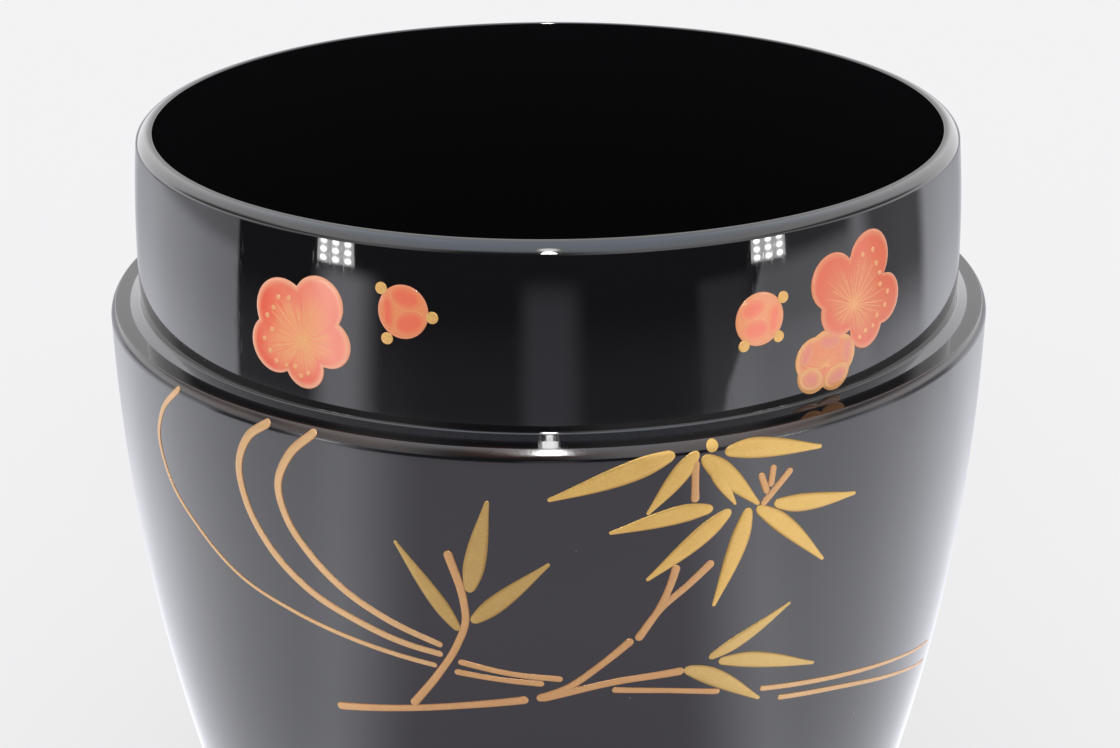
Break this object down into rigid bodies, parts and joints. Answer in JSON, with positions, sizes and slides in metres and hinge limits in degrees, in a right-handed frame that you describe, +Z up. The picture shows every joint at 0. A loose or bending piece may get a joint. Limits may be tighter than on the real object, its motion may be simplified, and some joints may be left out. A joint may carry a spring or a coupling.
{
  "type": "tea caddy",
  "caption": "Jujube-shaped lacquered tea caddy, shown open: a turned vessel with a standing collar and ledge, and a domed slip-over lid set down behind it.",
  "frame": {"origin": "centre of the vessel's foot ring, on the surface that the caddy stands on", "axes": "+Z up along the vessel's turning axis, -Y towards the decorated front, +Y towards the lid that is set down behind the vessel"},
  "size_m": [0.066, 0.146, 0.0589],
  "materials": {
    "black_lacquer": "gloss",
    "gold_powder": "satin",
    "coral_lacquer": "satin"
  },
  "bodies": {
    "caddy": {"body": "black_lacquer"},
    "lid": {"lid": "black_lacquer"}
  },
  "joints": [
    {"name": "lid_lift", "type": "slide", "parent": "caddy", "child": "lid", "axis": [0, 0, 1], "range_m": [0, 0.075]}
  ]
}
